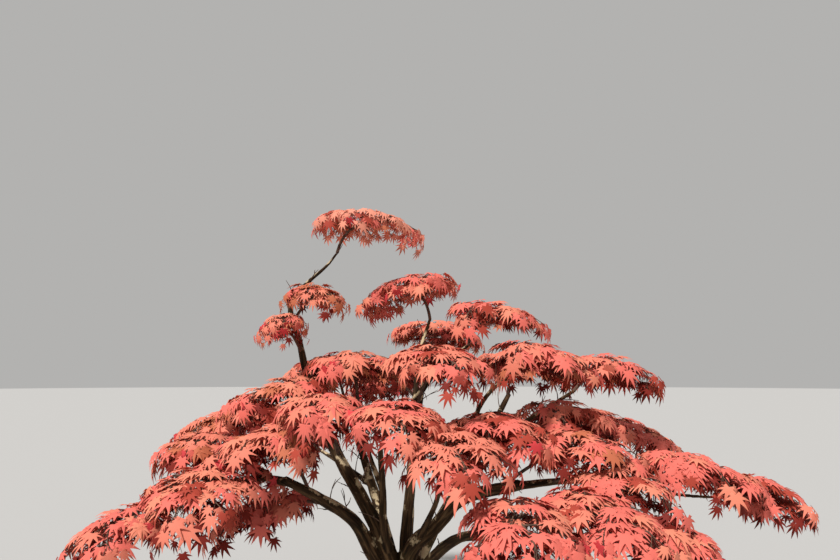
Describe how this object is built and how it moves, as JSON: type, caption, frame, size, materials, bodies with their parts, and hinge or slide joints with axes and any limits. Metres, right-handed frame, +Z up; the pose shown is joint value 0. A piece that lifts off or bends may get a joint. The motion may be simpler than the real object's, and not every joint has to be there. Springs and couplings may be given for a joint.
{
  "type": "japanese maple tree",
  "caption": "Low, wide Japanese maple in coral autumn leaf, forking near the ground into boughs that carry flat drooping tiers of foliage under one raised leader.",
  "frame": {"origin": "middle of the flat cut under the trunk at ground level", "axes": "+Z up out of the ground, +X to the right and +Y to the back as the picture sees the tree"},
  "size_m": [3.6626, 2.9806, 2.5235],
  "materials": {
    "bark": "rough matt bark",
    "leaves_coral": "matt leaf",
    "leaves_pink": "matt leaf",
    "leaves_orange": "matt leaf",
    "leaves_deep": "matt leaf"
  },
  "bodies": {
    "root": {"trunk": "bark", "bough_low_left": "bark", "leader_lower": "bark", "bough_right": "bark", "bough_middle": "bark", "bough_front_low": "bark", "bough_back_left": "bark", "bough_back_middle": "bark", "bough_back_right": "bark", "bough_front_middle": "bark", "bough_left_middle": "bark", "bough_low_left_outer": "bark", "leader_middle": "bark", "leader_top": "bark", "bough_middle_back": "bark", "bough_middle_right": "bark", "bough_front_right": "bark", "bough_right_rising": "bark", "bough_right_upper": "bark", "bough_right_high": "bark", "bough_right_outer": "bark", "bough_right_tip": "bark", "bough_front_low_right": "bark", "bough_back_left_low": "bark", "bough_back_right_low": "bark", "foliage_cap": "leaves_coral", "foliage_leader_right": "leaves_pink", "foliage_leader_left": "leaves_orange", "foliage_top_middle": "leaves_deep", "foliage_top_right": "leaves_coral", "foliage_upper_middle": "leaves_pink", "foliage_upper_right": "leaves_orange", "foliage_far_right_high": "leaves_deep", "foliage_upper_left": "leaves_coral", "foliage_left_high": "leaves_pink", "foliage_left_front": "leaves_orange", "foliage_left_middle": "leaves_deep", "foliage_left_far": "leaves_coral", "foliage_front_middle": "leaves_pink", "foliage_front_centre": "leaves_orange", "foliage_front_right": "leaves_deep", "foliage_right_middle": "leaves_coral", "foliage_right_lower": "leaves_pink", "foliage_right_outer": "leaves_orange", "foliage_right_tip": "leaves_deep", "foliage_low_left": "leaves_coral", "foliage_low_left_tip": "leaves_pink", "foliage_hanging_left": "leaves_orange", "foliage_low_front": "leaves_deep", "foliage_low_right_front": "leaves_coral", "foliage_low_right_tip": "leaves_pink", "foliage_right_front": "leaves_orange", "foliage_back_left_high": "leaves_deep", "foliage_back_left": "leaves_coral", "foliage_back_left_low": "leaves_pink", "foliage_back_top": "leaves_orange", "foliage_back_middle": "leaves_deep", "foliage_back_right_high": "leaves_coral", "foliage_back_right": "leaves_pink", "foliage_back_right_low": "leaves_orange"}
  },
  "joints": []
}
